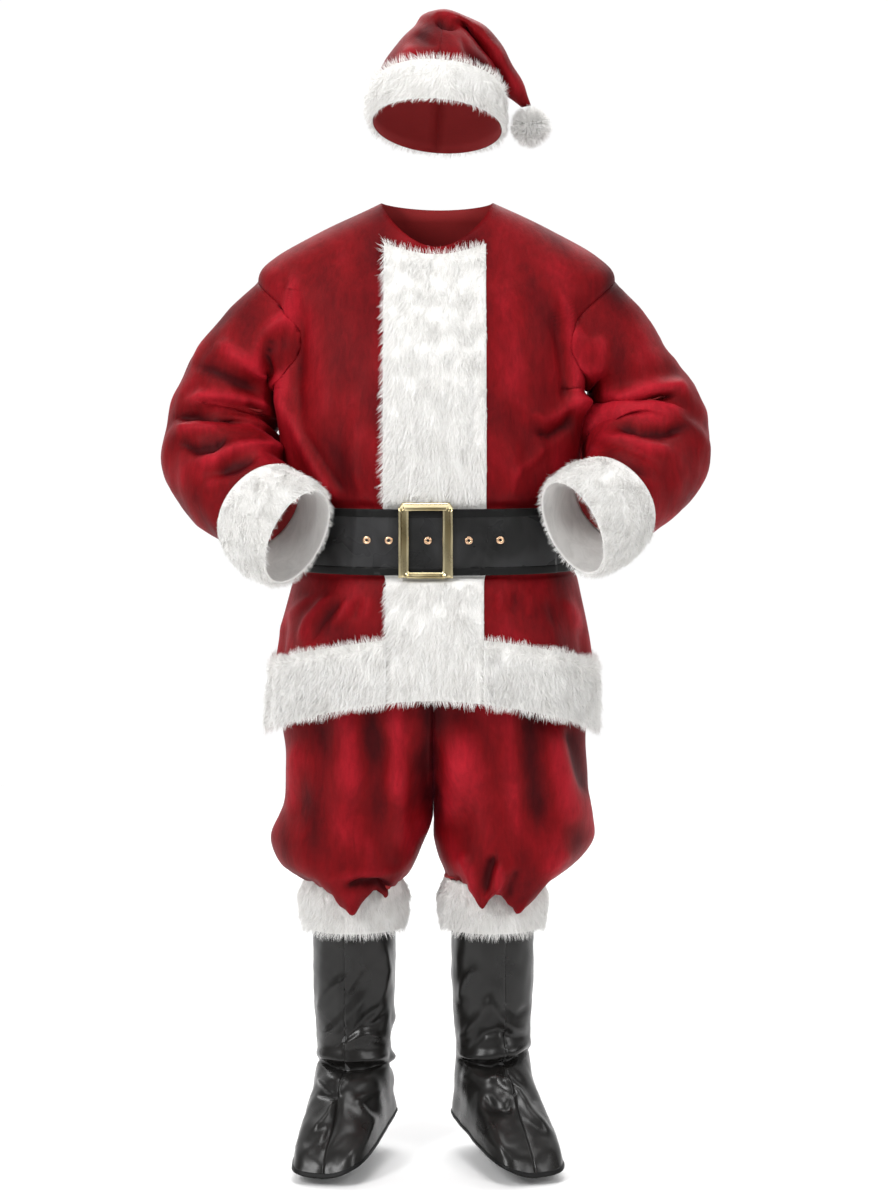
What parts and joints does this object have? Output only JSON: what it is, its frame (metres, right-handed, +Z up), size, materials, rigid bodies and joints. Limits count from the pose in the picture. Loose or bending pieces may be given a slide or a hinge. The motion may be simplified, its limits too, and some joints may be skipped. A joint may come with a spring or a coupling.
{
  "type": "santa suit",
  "caption": "Red velvet suit with white fur trim, wide black belt, trousers, boot covers and pompom hat, in a standing pose with hands on hips.",
  "frame": {"origin": "middle of the jacket's neck opening, at the height of the wearer's collar bone", "axes": "+Z up, the suit faces -Y, and the wearer's left is +X"},
  "size_m": [0.8764, 0.4521, 1.817],
  "materials": {
    "velvet": "crimson velvet with a brushed nap",
    "fur": "short white artificial fur",
    "vinyl": "black soft vinyl, half gloss",
    "gold": "polished gold coloured metal"
  },
  "bodies": {
    "root": {"hat_left": "velvet", "hat_right": "velvet", "jacket_front_left": "velvet", "jacket_front_right": "velvet", "jacket_back": "velvet", "sleeve_left": "velvet", "sleeve_right": "velvet", "trouser_left_front": "velvet", "trouser_left_back": "velvet", "trouser_right_front": "velvet", "trouser_right_back": "velvet", "trouser_waistband": "velvet", "hat_fur_band": "fur", "hat_pompom": "fur", "front_fur_band": "fur", "hem_fur_left": "fur", "hem_fur_right": "fur", "hem_fur_back": "fur", "cuff_left": "fur", "cuff_right": "fur", "leg_cuff_left": "fur", "leg_cuff_right": "fur", "belt_strap": "vinyl", "belt_binding_top": "vinyl", "belt_binding_bottom": "vinyl", "boot_left_outer": "vinyl", "boot_left_inner": "vinyl", "boot_left_binding": "vinyl", "boot_right_outer": "vinyl", "boot_right_inner": "vinyl", "boot_right_binding": "vinyl", "belt_buckle": "gold", "belt_eyelet_1": "gold", "belt_eyelet_2": "gold", "belt_eyelet_3": "gold", "belt_eyelet_4": "gold", "belt_eyelet_5": "gold"}
  },
  "joints": []
}
